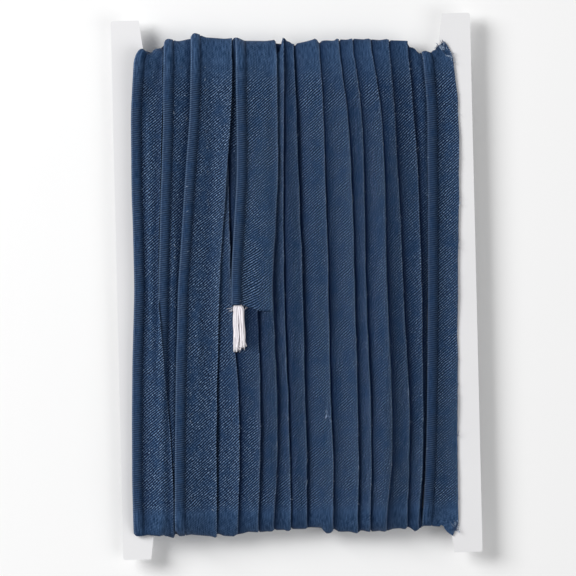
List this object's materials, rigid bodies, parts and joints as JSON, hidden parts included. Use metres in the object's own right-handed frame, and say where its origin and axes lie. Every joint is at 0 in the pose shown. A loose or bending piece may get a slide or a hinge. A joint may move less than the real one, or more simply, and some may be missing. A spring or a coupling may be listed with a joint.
{
  "type": "card of piping trim",
  "caption": "Notched board wound with flanged satin piping, its loose end lying on the front with the bare filler cord showing.",
  "frame": {"origin": "under the middle of the card, on the surface that the winding rests on", "axes": "+X across the card, +Y up it towards the end that the loose end comes over, +Z out of its front"},
  "size_m": [0.1, 0.15, 0.0126],
  "materials": {
    "board": "matt white board, smooth",
    "satin": "navy satin cut on the bias, soft sheen",
    "cotton": "white cotton strands, matt and fuzzy"
  },
  "bodies": {
    "root": {"card": "board", "wound_piping": "satin", "loose_end": "satin", "core_end": "cotton"}
  },
  "joints": []
}
